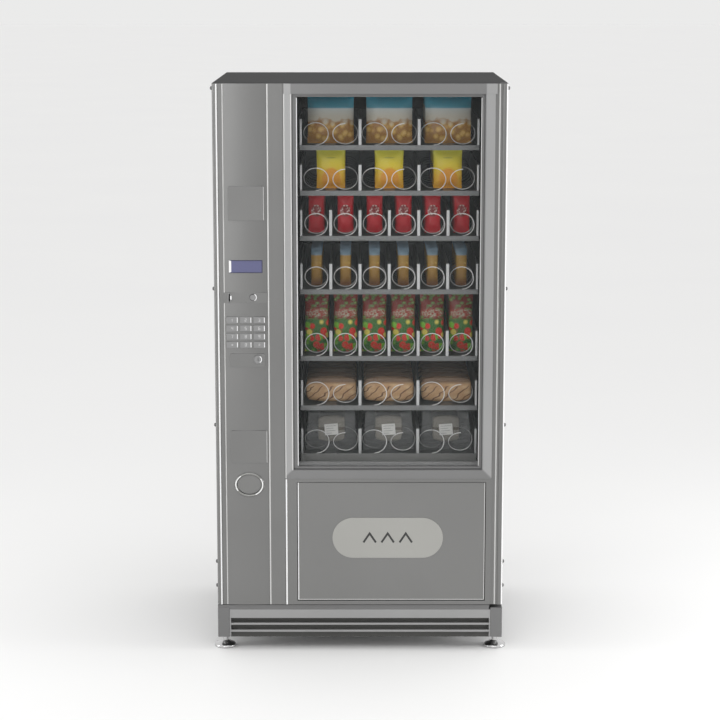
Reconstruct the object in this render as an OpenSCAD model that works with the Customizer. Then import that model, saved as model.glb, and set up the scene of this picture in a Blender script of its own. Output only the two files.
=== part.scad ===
// Snack vending machine: glass-fronted spiral machine on four levelling feet.
// Origin: centre of the footprint on the floor. +X right, +Y to the back, +Z up.

/* [Cabinet] */
// Width over the side panels
body_w = 920; // [912:2:930]
// Depth from the door's front plane to the back panel
body_d = 778; // [774:2:800]
// Height of the top panel above the floor
body_h = 1830; // [1826:2:1850]
// Thickness of the cabinet's sheet steel
wall = 3; // [2:0.5:4]
// Top of the base frame, where the cabinet floor starts
base_top = 146; // [144:1:147]
// Height of the levelling feet under the base frame
foot_h = 47; // [45:1:54]

/* [Door] */
// Depth of the door behind its front plane
door_d = 54; // [52:1:54]
// Lowest edge of the door
door_bottom = 158; // [157:1:159]
// Thickness of the door's sheet steel
sheet = 3; // [2:0.5:3]
// Radius of the hinge pins
hinge_r = 5; // [4:0.5:6]

/* [Window] */
// Left and right outer edge of the window frame
window_x = [-238, 420]; // [-500:1:500]
// Width of the window frame's left stile, right stile and bottom rail
window_rail = [25, 30, 28]; // [20:1:35]
// Height of the band across the top of the window
header_h = 32; // [30:1:34]
// Lowest edge of the window frame
window_bottom = 576; // [574:1:578]

/* [Product trays] */
// Heights of the seven tray lips' top edges, from the top row down
lip_z = [1628, 1483, 1338, 1165, 947, 784, 624]; // [600:1:1650]
// Distance from the door's front plane to the tray lips
tray_front = 150; // [148:1:152]
// Pitch of the coil lanes
lane = 94; // [92:0.5:94]
// Height of a lane divider above the tray lip
divider_h = 83; // [60:1:84]
// Radius of the coils, to the middle of the wire
coil_r = 34; // [33:0.5:34]
// Diameter of the coil wire
wire_d = 4; // [3:0.5:4]

/* [Delivery] */
// Left and right edge of the delivery flap
flap_x = [-199.6, 401]; // [-202:0.2:402]
// Lowest and highest edge of the delivery flap
flap_z = [173, 562]; // [170:1:563]
// Depth of the delivery bin
bin_d = 325; // [322:1:330]

/* [Hidden] */
$fn = 48;
front = -(body_d - 6) / 2;              // door's front plane; the return button stands 6 proud
back = front + body_d;
half_w = body_w / 2;
fit = 0.05;                             // radial running clearance of pins
cab_front = front + door_d + 8;         // front edge of the cabinet walls
cab_floor = base_top + 6;
flange = 16;                            // folded edge round the cabinet's mouth
door_back = front + door_d;
skin = front + 4;                       // front face of the door's sheet steel

hinge_x = half_w - 12;
hinge_y = door_back - 8;

fascia_x = [-429, -292];                // control column
fascia_mid = (fascia_x[0] + fascia_x[1]) / 2;
fascia_half = (fascia_x[1] - fascia_x[0]) / 2;
crown = 3;
crown_r = (fascia_half * fascia_half + crown * crown) / (2 * crown);
fascia_back = skin;
band_back = skin - 1;                   // back of the coin plate, let into the fascia

key_size = [36, 20];
key_pitch = [42.7, 26.4];
key_mid = [fascia_mid, 1050];
key_gap = 0.4;
key_flange = 1;                         // how far a key's flange stands out all round
pocket_in = [124.4, 107.6];             // keypad pocket behind the fascia, inside
pocket_wall = 1;

bill_cover = [-357, 1458, 112, 108];    // centre x, centre z, width, height
lock_plate = [-356.5, 960.5, 113, 43];
blank_cover = [-354, 680, 116, 106];
display_box = [-359, 1259.5, 106, 41];
coin_band = [1144, 1177];
coin_slot_at = [-411, 1161];
button_at = [-337, 1162];
lock_at = [-322, 964];
cup_at = [-354, 556];
cup_ring = [47, 40];                    // half axes of the ring's outer edge
cup_in = [39, 32];                      // half axes of its opening
coin_hinge = [front + 8, cup_at[1] + 25];

glass_in = [window_x[0] + window_rail[0], window_x[1] - window_rail[1]];
glass_z = [window_bottom + window_rail[2], body_h - header_h];

surround_x = [window_x[0], 422];
surround_z = [door_bottom, window_bottom];
flap_gap = 2;
flap_hinge = [front + 12, flap_z[1] + 12];
flap_barrel = 5;

liner_x = [-200, 388];
liner_back = front + 724;
liner_wall = 12;
liner_z = [585, 1796];
tray_x = [liner_x[0] + 8, liner_x[1] - 8];
tray_mid = (tray_x[0] + tray_x[1]) / 2;
tray_len = 566;
lip_h = [16, 16, 16, 16, 16, 16, 25];
paired = [true, true, false, false, false, true, true];
coil_lift = coil_r + wire_d / 2 - 2;    // coil axis above the lip's top edge
coil_start = front + tray_front + 8;
motor_face = front + tray_front + tray_len - 46;
wide_pitch = 83;                        // pitch of the coils that turn in pairs
slim_pitch = 60;
wide_turns = 6;
slim_turns = 8;
axle_r = 4;

pack = [92, 22, 124];
packs_deep = 5;

foot_x = half_w - 20;
foot_y = [front + 65, back - 60];
kick_top = base_top - 7;
screw_z = [1812, 1178, 735, 281, 200];
screw_y = front + 80;
fan_at = [150, front + 560, 300];

// ---- helpers ----
// Block between two x, y and z limits
module block(x, y, z) {
    translate([x[0], y[0], z[0]]) cube([x[1] - x[0], y[1] - y[0], z[1] - z[0]]);
}

// Upright rounded plate on centre x, z, between two y values
module plate(box, y, r = 6) {
    translate([box[0], y[1], box[1]]) rotate([90, 0, 0]) linear_extrude(y[1] - y[0])
        rounded(box[2], box[3], r);
}

module rounded(w, h, r) {
    square([w, h - 2 * r], center = true);
    square([w - 2 * r, h], center = true);
    for (sx = [-1, 1], sz = [-1, 1]) translate([sx * (w / 2 - r), sz * (h / 2 - r)]) circle(r);
}

// Cylinder along Y through x, z
module rod_y(at, y, r) {
    translate([at[0], y[1], at[1]]) rotate([90, 0, 0]) cylinder(r = r, h = y[1] - y[0]);
}

// Cylinder along X through y, z
module rod_x(at, x, r) {
    translate([x[0], at[0], at[1]]) rotate([0, 90, 0]) cylinder(r = r, h = x[1] - x[0]);
}

function ellipse(a, n = 48) = [for (i = [0 : n - 1]) [a[0] * cos(360 * i / n), a[1] * sin(360 * i / n)]];

// Upright elliptical slab on the coin cup's centre
module oval(a, y) {
    translate([cup_at[0], y[1], cup_at[1]]) rotate([90, 0, 0]) linear_extrude(y[1] - y[0])
        polygon(ellipse(a));
}

// Rectangular ring between two boxes of the XZ plane
module ring(xo, zo, xi, zi, y) {
    difference() {
        block(xo, y, zo);
        block(xi, [y[0] - 1, y[1] + 1], zi);
    }
}

// ---- cabinet ----
module cabinet_shell() {
    color([0.40, 0.40, 0.40]) difference() {
        block([-half_w, half_w], [cab_front, back], [base_top, body_h]);
        block([-half_w + wall, half_w - wall], [cab_front + wall, back - wall], [cab_floor, body_h - wall]);
        block([-half_w + flange, half_w - flange], [cab_front - 1, cab_front + wall + 1],
              [cab_floor, body_h - flange]);
        for (i = [0 : 9]) rear_slot(200 + 22 * i);
        for (side = [-1, 1], z = screw_z) screw_hole(side, z);
    }
}

module rear_slot(z) {
    for (x = [-380, 40]) block([x, x + 340], [back - wall - 1, back + 1], [z, z + 9]);
}

module screw_hole(side, z) {
    rod_x([screw_y, z], side > 0 ? [half_w - 12, half_w + 1] : [-half_w - 1, -half_w + 12], 3);
}

module side_screws() {
    color([0.30, 0.30, 0.30]) for (side = [-1, 1], z = screw_z) {
        rod_x([screw_y, z], side > 0 ? [half_w - 11, half_w] : [-half_w, -half_w + 11], 2.9);
        rod_x([screw_y, z], side > 0 ? [half_w, half_w + 10] : [-half_w - 10, -half_w], 6);
    }
}

module inner_liner() {
    x = liner_x;
    color([0.25, 0.25, 0.25]) {
        difference() {
            block([x[0] - liner_wall, x[1] + liner_wall], [cab_front, liner_back + liner_wall],
                  [liner_z[0] - liner_wall, liner_z[1] + liner_wall]);
            block(x, [cab_front - 1, liner_back], liner_z);
            block(x, [cab_front - 1, front + tray_front - 2], [liner_z[0] - liner_wall - 1, liner_z[0] + 1]);
        }
        for (i = [0 : 6]) tray_rails(tray_floor(i));
    }
}

function tray_floor(i) = lip_z[i] - 8;

module tray_rails(z) {
    for (x = [[liner_x[0], tray_x[0] + 10], [tray_x[1] - 10, liner_x[1]]])
        block(x, [front + tray_front + 12, liner_back], [z - 10, z - 4.5]);
}

module base_frame() {
    color([0.38, 0.38, 0.38]) {
        for (side = [-1, 1]) {
            for (y = [[front + 6, front + 84], [back - 90, back - 30]]) post(side, y);
            block(side > 0 ? [half_w - 38, half_w] : [-half_w, -half_w + 38],
                  [front + 84, back - 90], [106, base_top]);
        }
        block([-half_w + 38, half_w - 38], [back - 70, back - 30], [106, base_top]);
        block([-half_w + 38, half_w - 38], [front + 28, front + 42], [foot_h - 6, base_top]);
        block([-half_w, hinge_x - 30], [front + 8, cab_front - 0.5], [kick_top, door_bottom - 3]);
    }
}

module post(side, y) {
    block(side > 0 ? [half_w - 38, half_w] : [-half_w, -half_w + 38], y, [foot_h, base_top]);
}

module kick_grille() {
    x = [-half_w + 38, half_w - 38];
    slat_h = 7;
    band_z = 110;
    pitch = 23.5;
    color([0.64, 0.64, 0.64]) {
        block(x, [front + 8, front + 20], [band_z, kick_top]);
        for (i = [1, 2]) block(x, [front + 10, front + 26], [band_z, band_z + slat_h] - i * [pitch, pitch]);
        for (s = [x[0], x[1] - 4]) block([s, s + 4], [front + 8, front + 28], [foot_h + 2, band_z]);
    }
}

module levelling_feet() {
    color([0.80, 0.80, 0.80]) for (side = [-1, 1], y = foot_y) translate([side * foot_x, y, 0]) foot();
}

module foot() {
    cylinder(r = 36, h = 7);
    translate([0, 0, 7]) cylinder(r1 = 36, r2 = 29, h = 5);
    translate([0, 0, 12]) cylinder(r1 = 29, r2 = 12, h = 7);
    translate([0, 0, 19]) cylinder(r = 9, h = foot_h - 19);
    translate([0, 0, foot_h - 12]) cylinder(r = 14, h = 8, $fn = 6);
}

// ---- cooling ----
module refrigeration_unit() {
    color([0.22, 0.22, 0.23]) {
        block([-420, 420], [back - 350, back - 40], [cab_floor, cab_floor + 8]);
        translate([-200, back - 190, cab_floor + 8]) compressor();
        difference() {
            block([fan_at[0] - 150, fan_at[0] + 150], [fan_at[1] + 40, fan_at[1] + 110],
                  [cab_floor + 8, 470]);
            rod_y([fan_at[0], fan_at[2]], [fan_at[1], fan_at[1] + 60], 112);
            rod_y([fan_at[0], fan_at[2]], [fan_at[1], fan_at[1] + 112], axle_r + fit);
        }
        block([-140, fan_at[0] - 150], [fan_at[1] + 60, fan_at[1] + 72], [cab_floor + 40, cab_floor + 52]);
    }
}

module compressor() {
    cylinder(r = 80, h = 150);
    translate([0, 0, 150]) cylinder(r1 = 80, r2 = 45, h = 35);
    translate([0, -70, 60]) cube([90, 40, 90]);
}

module condenser_fan() {
    color([0.15, 0.15, 0.15]) {
        rod_y([fan_at[0], fan_at[2]], [fan_at[1] + 14, fan_at[1] + 44], 26);
        rod_y([fan_at[0], fan_at[2]], [fan_at[1] + 14, fan_at[1] + 90], axle_r);
        for (i = [0 : 4]) translate([fan_at[0], fan_at[1] + 29, fan_at[2]]) rotate([0, 72 * i, 0])
            rotate([0, 0, 32]) translate([-32, -1.5, 16]) cube([64, 3, 84]);
    }
}

// ---- door ----
module door_hinges() {
    color([0.55, 0.55, 0.56]) {
        for (z = [[base_top + 1, door_bottom - 2], [body_h - 8, body_h - 1]])
            block([hinge_x - 9, hinge_x + 9], [hinge_y - 9, cab_front], z);
        translate([hinge_x, hinge_y, door_bottom - 3]) cylinder(r = hinge_r, h = 26);
        translate([hinge_x, hinge_y, body_h - 32]) cylinder(r = hinge_r, h = 26);
    }
}

// Plan of the door: straight sides and back, rounded front corners
module door_plan(inset, r) {
    w = half_w - inset;
    translate([-w + r, skin + inset]) square([2 * (w - r), r]);
    translate([-w, skin + inset + r]) square([2 * w, door_back - skin - inset - r]);
    for (s = [-1, 1]) translate([s * (w - r), skin + inset + r]) circle(r);
}

module door_frame() {
    window = [[glass_in[0], glass_in[1]], [glass_z[0], glass_z[1]]];
    mouth = [[flap_x[0] - 6, flap_x[1] + 6], [flap_z[0] - 6, flap_z[1] + 22]];
    color([0.50, 0.50, 0.50]) difference() {
        union() {
            difference() {
                translate([0, 0, door_bottom]) linear_extrude(body_h - door_bottom) door_plan(0, 12);
                translate([0, 0, door_bottom + sheet]) linear_extrude(body_h - door_bottom - 2 * sheet)
                    door_plan(sheet, 9);
                block([-half_w + sheet, half_w - sheet], [door_back - 5, door_back + 1],
                      [door_bottom + sheet, body_h - sheet]);
            }
            tunnel(window[0], window[1]);
            tunnel(mouth[0], mouth[1]);
            for (z = [door_bottom, body_h - 40]) hinge_boss(z);
            door_bead(-1);
            door_bead(1);
            block([fascia_x[1] + 2, window_x[0] - 2], [front + 1.5, skin + 1], [door_bottom, body_h]);
        }
        block(window[0], [front - 9, door_back + 1], window[1]);
        block(mouth[0], [front - 9, door_back + 1], mouth[1]);
        block([fascia_x[0] + 4, fascia_x[1] - 3], [skin - 1, skin + sheet + 1], [500, 1525]);
        hinge_bores();
        block([hinge_x - 14, half_w + 1], [hinge_y - 16, door_back + 1], [body_h - 10, body_h + 1]);
        for (x = [mouth[0][0] - 4, mouth[0][1] - 1]) rod_x(flap_hinge, [x, x + 5], axle_r + fit);
    }
}

module tunnel(x, z) {
    ring([x[0] - sheet, x[1] + sheet], [z[0] - sheet, z[1] + sheet], x, z, [skin + 1, door_back]);
}

module hinge_boss(z) {
    block([hinge_x - 12, half_w - 1], [hinge_y - 13, door_back - 0.5], [z, z + 40]);
}

module hinge_bores() {
    translate([hinge_x, hinge_y, door_bottom - 1]) cylinder(r = hinge_r + fit, h = 28);
    translate([hinge_x, hinge_y, body_h - 36]) cylinder(r = hinge_r + fit, h = 30);
}

// Rounded upright bead along each side of the door front
module door_bead(side) {
    width = 17;
    r = 6;
    translate([side * (half_w - 1.5 - width / 2), 0, door_bottom]) linear_extrude(body_h - door_bottom) {
        translate([-width / 2 + r, front]) square([width - 2 * r, 10]);
        translate([-width / 2, front + r]) square([width, 10 - r]);
        for (s = [-1, 1]) translate([s * (width / 2 - r), front + r]) circle(r);
    }
}

module control_fascia() {
    color([0.55, 0.55, 0.55]) difference() {
        union() {
            translate([0, 0, door_bottom]) linear_extrude(body_h - door_bottom) fascia_plan();
            plate([key_mid[0], key_mid[1], pocket_in[0] + 2 * pocket_wall, pocket_in[1] + 2 * pocket_wall],
                  [fascia_back - 1, front + 15], 3);
        }
        plate([key_mid[0], key_mid[1], pocket_in[0], pocket_in[1]], [fascia_back, front + 13], 2);
        for (i = [0 : 11]) key_hole(i);
        for (c = [bill_cover, lock_plate, blank_cover]) plate(c, [front - 2, front + 20]);
        plate(display_box, [front - 2, front + 20], 2);
        block([fascia_x[0] - 1, fascia_x[1] + 1], [front - 2, band_back], coin_band);
        coin_openings();
        oval([cup_ring[0] + key_gap, cup_ring[1] + key_gap], [front - 2, front + 20]);
    }
}

// Plan of the control column's skin: a shallow crown rolled across its width
module fascia_plan() {
    flats = 16;
    polygon(concat([for (i = [0 : flats]) crown_at((2 * i / flats - 1) * fascia_half)],
                   [[fascia_x[1], fascia_back], [fascia_x[0], fascia_back]]));
}

function crown_at(dx) = [fascia_mid + dx, front + crown_r - sqrt(crown_r * crown_r - dx * dx)];

function key_at(i) = [key_mid[0] + (i % 3 - 1) * key_pitch[0],
                      key_mid[1] + (1.5 - floor(i / 3)) * key_pitch[1]];

module key_hole(i) {
    at = key_at(i);
    plate([at[0], at[1], key_size[0] + 2 * key_gap, key_size[1] + 2 * key_gap], [front - 2, front + 10], 2);
}

// Push key: a cap through the fascia with a flange behind it
module key(i) {
    at = key_at(i);
    color([0.58, 0.58, 0.58]) {
        plate([at[0], at[1], key_size[0], key_size[1]], [front - 1.5, front + 7], 2);
        plate([at[0], at[1], key_size[0] + 2 * key_flange, key_size[1] + 2 * key_flange],
              [front + 6.6, front + 9.4], 2);
    }
}

module fascia_covers() {
    color([0.52, 0.52, 0.52]) {
        plate(bill_cover, [front - 1, front + 5]);
        plate(blank_cover, [front - 1, front + 5]);
        difference() {
            plate(lock_plate, [front - 1, front + 5]);
            rod_y(lock_at, [front - 2, front + 6], 8 + fit);
        }
    }
}

module display() {
    color([0.36, 0.36, 0.52]) plate(display_box, [front + 3, front + 7], 2);
}

module coin_plate() {
    color([0.54, 0.54, 0.54]) difference() {
        block(fascia_x, [front + 0.5, band_back], coin_band);
        coin_openings();
    }
}

module coin_openings() {
    plate([coin_slot_at[0], coin_slot_at[1], 4, 26], [front - 1, front + 6], 1.9);
    rod_y(button_at, [front - 1, front + 6], 5 + fit);
}

module coin_return_button() {
    color([0.75, 0.75, 0.75]) {
        rod_y(button_at, [front - 6, front - 2.8], 9);
        rod_y(button_at, [front - 3, front + 16], 5);
    }
}

module door_lock() {
    color([0.75, 0.75, 0.75]) difference() {
        union() {
            rod_y(lock_at, [front - 5, front - 1.5], 13);
            rod_y(lock_at, [front - 2, front + 30], 8);
            block([lock_at[0] - 8, lock_at[0] + 8], [front + 26, front + 30],
                  [lock_at[1] - 8, lock_at[1] + 38]);
        }
        block([lock_at[0] - 1.2, lock_at[0] + 1.2], [front - 6, front + 2], [lock_at[1] - 5, lock_at[1] + 5]);
    }
}

// Coin return: an oval chrome ring in front of a cup
module coin_cup() {
    color([0.82, 0.82, 0.82]) difference() {
        union() {
            oval(cup_ring, [front - 3, front + 3]);
            oval([cup_in[0] + 4, cup_in[1] + 4], [front + 2, front + 50]);
        }
        oval(cup_in, [front - 4, front + 47]);
        rod_x(coin_hinge, [cup_at[0] - 60, cup_at[0] + 60], 1.5 + fit);
    }
}

module coin_flap() {
    half = cup_in[0] * sqrt(1 - pow((coin_hinge[1] - cup_at[1]) / cup_in[1], 2));
    color([0.52, 0.52, 0.52]) {
        oval([cup_in[0] - 0.8, cup_in[1] - 0.8], [front + 3, front + 5.5]);
        rod_x(coin_hinge, [cup_at[0] - 16, cup_at[0] + 16], 3);
        rod_x(coin_hinge, [cup_at[0] - half - 3, cup_at[0] + half + 3], 1.5);
    }
}

// Coin validator, drop tube and cash box behind the control column
module coin_mechanism() {
    color([0.20, 0.20, 0.21]) {
        block([-418, -300], [front + 24, front + 120], [1135, 1380]);
        block([-400, -370], [front + 60, front + 90], [800, 1136]);
        block([-420, -298], [front + 56, front + 130], [640, 801]);
    }
}

module window_frame() {
    color([0.66, 0.66, 0.66]) difference() {
        union() {
            block(window_x, [front - 2, skin], [window_bottom, body_h - header_h + 1]);
            block([window_x[0] + 1.5, window_x[1] + 5], [front - 4, skin], [body_h - header_h, body_h]);
        }
        block(glass_in, [front - 5, skin + 1], glass_z);
    }
}

module window_gasket() {
    bead = 14;
    color([0.45, 0.45, 0.45]) difference() {
        block(glass_in, [front + 8, front + 24], glass_z);
        block([glass_in[0] + bead, glass_in[1] - bead + 4], [front + 7, front + 25],
              [glass_z[0] + bead - 4, glass_z[1] - bead + 4]);
    }
}

module window_glass() {
    color([0.75, 0.80, 0.80, 0.35]) block(glass_in, [front + 24, front + 30], glass_z);
}

module flap_surround() {
    color([0.50, 0.50, 0.50])
        ring(surround_x, surround_z, [flap_x[0] - flap_gap, flap_x[1] + flap_gap],
             [flap_z[0] - flap_gap, flap_z[1] + flap_gap], [front, skin]);
}

module delivery_flap() {
    color([0.50, 0.50, 0.50]) {
        block(flap_x, [front + 3, front + 8], flap_z);
        block([flap_x[0] + 6, flap_x[1] - 6], [front + 7, front + 11], [flap_z[1] - 30, flap_hinge[1]]);
        rod_x(flap_hinge, [flap_x[0] + 2, flap_x[1] - 2], flap_barrel);
        rod_x(flap_hinge, [flap_x[0] - 8.5, flap_x[1] + 8.5], axle_r);
    }
}

module push_plate() {
    size = [355, 133];
    color([0.66, 0.66, 0.66]) plate([89, 380, size[0], size[1]], [front + 1, front + 3], size[1] / 2 - 0.1);
}

// Delivery bin: open to the door in front and to the drop space above
module delivery_bin() {
    x = [flap_x[0] - 4, flap_x[1] + 4];
    y = [cab_front, cab_front + bin_d];
    z = [cab_floor + 1, liner_z[0] - liner_wall - 4];
    color([0.30, 0.30, 0.31]) difference() {
        block([x[0] - sheet, x[1] + sheet], [y[0], y[1] + sheet], [z[0], z[1] + sheet]);
        block(x, [y[0] - 1, y[1]], [z[0] + sheet, z[1]]);
        block(x, [y[0] - 1, front + tray_front - 4], [z[0] + sheet, z[1] + sheet + 1]);
    }
}

// ---- trays and coils ----
function lanes(i) = paired[i] ? 3 : 6;

module tray(i) {
    floor_z = tray_floor(i);
    y = [front + tray_front, front + tray_front + tray_len];
    top = lip_z[i] + divider_h;
    color([0.55, 0.55, 0.55]) difference() {
        union() {
            block(tray_x, y, [floor_z - 4, floor_z]);
            block(tray_x, [y[0], y[0] + 2], [lip_z[i] - lip_h[i], lip_z[i]]);
            for (k = [0 : lanes(i)]) divider(i, k, y, [floor_z - 1, top]);
            if (paired[i]) for (k = [0 : 2])
                lane_rib(tray_mid + (k - 1) * 2 * lane, y, [floor_z - 1, lip_z[i] + 0.5]);
            block(tray_x, [motor_face, motor_face + 8], [floor_z - 1, top]);
            for (k = [0 : 5]) motor_box(coil_x(k), lip_z[i] + coil_lift);
        }
        for (k = [0 : 5])
            rod_y([coil_x(k), lip_z[i] + coil_lift], [motor_face - 1, motor_face + 20], axle_r + fit);
    }
}

module divider(i, k, y, z) {
    n = lanes(i);
    thick = k == 0 || k == n ? 4 : 8;
    mid = k == 0 ? tray_x[0] + 2 : k == n ? tray_x[1] - 2 : tray_mid + (k - n / 2) * 6 * lane / n;
    block([mid - thick / 2, mid + thick / 2], [y[0] + 1, motor_face + 1], z);
}

// Raised strip that carries the packs between a lane's two coils
module lane_rib(x, y, z) {
    block([x - 18, x + 18], [y[0] + 1, motor_face + 1], z);
}

module motor_box(x, z) {
    block([x - 24, x + 24], [motor_face + 7, motor_face + 45], [z - 26, z + 30]);
}

function coil_x(k) = tray_mid + (k - 2.5) * lane;

// Half a turn of coil: a bent wire whose plane leans, so the ends sit half a pitch apart
module half_turn(p, first) {
    lean = atan(p / (4 * coil_r));
    bend = sqrt(coil_r * coil_r + p * p / 16);
    translate([0, p / 4, 0]) rotate([first ? -lean : lean, 0, 0]) rotate([90, first ? 90 : -90, 0])
        rotate_extrude(angle = 180) translate([bend, 0]) circle(d = first ? wire_d : 0.97 * wire_d);
}

// Product coil with its drive arm and axle at the back
module coil(i, k) {
    p = paired[i] ? wide_pitch : slim_pitch;
    turns = paired[i] ? wide_turns : slim_turns;
    start_top = paired[i] && k % 2 == 1;
    end_y = coil_start + turns * p;
    translate([coil_x(k), 0, lip_z[i] + coil_lift]) rotate([0, start_top ? 180 : 0, 0]) {
        for (h = [0 : 2 * turns - 1]) translate([0, coil_start + h * p / 2, 0]) half_turn(p, h % 2 == 0);
        translate([-3, end_y - 2.5, -coil_r - 2]) cube([6, 6, coil_r + 2]);
        rod_y([0, 0], [end_y - 3, motor_face - 1], 7);
        rod_y([0, 0], [end_y - 3, motor_face + 19], axle_r);
    }
}

module joined_coils(i) {
    color([0.85, 0.85, 0.85]) for (k = [0 : 5]) coil(i, k);
}

module turning_coil(k) {
    color([0.85, 0.85, 0.85]) coil(1, k);
}

// Column of snack packs standing between the turns of one pair of coils
module stock(n) {
    x = tray_mid + (n - 1) * 2 * lane;
    color([0.85, 0.72, 0.20]) for (j = [0 : packs_deep - 1])
        translate([x - pack[0] / 2, coil_start + (j + 0.75) * wide_pitch - pack[1] / 2, lip_z[1] + 1])
            cube(pack);
}

cabinet_shell();
inner_liner();
base_frame();
kick_grille();
levelling_feet();
side_screws();
door_hinges();
delivery_bin();
refrigeration_unit();
condenser_fan();
door_frame();
control_fascia();
fascia_covers();
display();
coin_plate();
coin_cup();
coin_mechanism();
window_frame();
window_gasket();
window_glass();
flap_surround();
delivery_flap();
push_plate();
coin_flap();
coin_return_button();
door_lock();
for (i = [1 : 12]) key(i - 1);
for (i = [1 : 7]) tray(i - 1);
for (i = [1, 3, 4, 5, 6, 7]) joined_coils(i - 1);
for (i = [1 : 6]) turning_coil(i - 1);
for (i = [1 : 3]) stock(i - 1);
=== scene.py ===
import math
import random

import bmesh
import bpy
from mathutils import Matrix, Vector, noise


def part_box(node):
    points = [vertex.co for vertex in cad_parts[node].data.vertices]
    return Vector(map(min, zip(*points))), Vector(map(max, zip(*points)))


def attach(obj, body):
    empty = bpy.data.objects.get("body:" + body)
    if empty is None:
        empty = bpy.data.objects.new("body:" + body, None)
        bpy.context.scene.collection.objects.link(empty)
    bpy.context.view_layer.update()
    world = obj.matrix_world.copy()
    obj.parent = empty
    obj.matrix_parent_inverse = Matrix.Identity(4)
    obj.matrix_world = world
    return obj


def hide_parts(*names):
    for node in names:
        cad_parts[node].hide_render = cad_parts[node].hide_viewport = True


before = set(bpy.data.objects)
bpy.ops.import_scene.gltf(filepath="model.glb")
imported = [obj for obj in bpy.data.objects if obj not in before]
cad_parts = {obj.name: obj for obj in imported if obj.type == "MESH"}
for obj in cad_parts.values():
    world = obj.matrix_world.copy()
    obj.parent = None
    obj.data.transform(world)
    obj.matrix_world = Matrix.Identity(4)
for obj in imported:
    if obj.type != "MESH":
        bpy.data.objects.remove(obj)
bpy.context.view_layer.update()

MM = 0.001

# ---- sizes that the pieces share with the frame ----
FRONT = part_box("flap_surround")[0].y
LANE = 94 * MM
DIVIDER_H = 83 * MM
COIL_R = 34 * MM
WIRE_R = 1.35 * MM
COIL_LIFT = 34 * MM
COIL_SETBACK = 8 * MM           # coils start behind the tray's front
WIDE_PITCH = 83 * MM
SLIM_PITCH = 60 * MM
WIDE_TURNS = 6
SLIM_TURNS = 8
PAIRED_ROWS = (1, 2, 6, 7)
MOVING_ROW = 2


def row_lanes(row):
    return 3 if row in PAIRED_ROWS else 6


def tray_mid(row):
    low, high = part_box(f"tray_{row}")
    return (low.x + high.x) / 2


def lip_top(row):
    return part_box(f"tray_{row}")[1].z - DIVIDER_H


def coil_start(row):
    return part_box(f"tray_{row}")[0].y + COIL_SETBACK


def coil_x(row, k):
    return tray_mid(row) + (k - 2.5) * LANE


def lane_x(row, k):
    lanes = row_lanes(row)
    return tray_mid(row) + (k - (lanes - 1) / 2) * 6 * LANE / lanes


# ---- materials ----
def new_material(name):
    mat = bpy.data.materials.new(name)
    mat.use_nodes = True
    return mat, mat.node_tree, mat.node_tree.nodes["Principled BSDF"]


def set_surface(bsdf, rough=0.5, metallic=0.0, coat=0.0, specular=0.5):
    bsdf.inputs["Roughness"].default_value = rough
    bsdf.inputs["Metallic"].default_value = metallic
    bsdf.inputs["Coat Weight"].default_value = coat
    bsdf.inputs["Coat Roughness"].default_value = 0.15
    bsdf.inputs["Specular IOR Level"].default_value = specular


def add_noise(tree, scale, detail=3.0, stretch=(1, 1, 1)):
    coords = tree.nodes.new("ShaderNodeTexCoord")
    mapping = tree.nodes.new("ShaderNodeMapping")
    mapping.inputs["Scale"].default_value = stretch
    tex = tree.nodes.new("ShaderNodeTexNoise")
    tex.inputs["Scale"].default_value = scale
    tex.inputs["Detail"].default_value = detail
    tree.links.new(coords.outputs["Object"], mapping.inputs["Vector"])
    tree.links.new(mapping.outputs["Vector"], tex.inputs["Vector"])
    return tex.outputs["Fac"]


def ramp(tree, fac, stops, constant=False):
    node = tree.nodes.new("ShaderNodeValToRGB")
    if constant:
        node.color_ramp.interpolation = "CONSTANT"
    while len(node.color_ramp.elements) < len(stops):
        node.color_ramp.elements.new(0.5)
    for element, (place, colour) in zip(node.color_ramp.elements, stops):
        element.position = place
        element.color = (*colour, 1)
    tree.links.new(fac, node.inputs["Fac"])
    return node.outputs["Color"]


def math_node(tree, operation, a, b=0.0, clamp=False):
    node = tree.nodes.new("ShaderNodeMath")
    node.operation = operation
    node.use_clamp = clamp
    for socket, value in zip(node.inputs, (a, b)):
        if isinstance(value, (int, float)):
            socket.default_value = value
        else:
            tree.links.new(value, socket)
    return node.outputs["Value"]


def add_bump(tree, bsdf, height, strength, distance=0.0005):
    bump = tree.nodes.new("ShaderNodeBump")
    bump.inputs["Strength"].default_value = strength
    bump.inputs["Distance"].default_value = distance
    tree.links.new(height, bump.inputs["Height"])
    tree.links.new(bump.outputs["Normal"], bsdf.inputs["Normal"])


def shade(colour, factor):
    return tuple(min(1.0, c * factor) for c in colour)


def finish_material(name, colour, rough, metallic, scale=60, spread=0.08, bump=0.05, stretch=(1, 1, 1),
                    coat=0.0):
    """A painted, moulded or metal surface with slight colour and gloss variation and a fine grain."""
    mat, tree, bsdf = new_material(name)
    set_surface(bsdf, rough, metallic, coat)
    cloud = add_noise(tree, 3.0, 2.0)
    tree.links.new(ramp(tree, cloud, [(0.3, shade(colour, 1 - spread)), (0.7, shade(colour, 1 + spread))]),
                   bsdf.inputs["Base Color"])
    grain = add_noise(tree, scale, 4.0, stretch)
    rough_map = tree.nodes.new("ShaderNodeMapRange")
    rough_map.inputs["To Min"].default_value = max(0.02, rough - 0.06)
    rough_map.inputs["To Max"].default_value = min(1.0, rough + 0.06)
    tree.links.new(grain, rough_map.inputs["Value"])
    tree.links.new(rough_map.outputs["Result"], bsdf.inputs["Roughness"])
    if bump:
        add_bump(tree, bsdf, grain, bump)
    return mat


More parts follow.
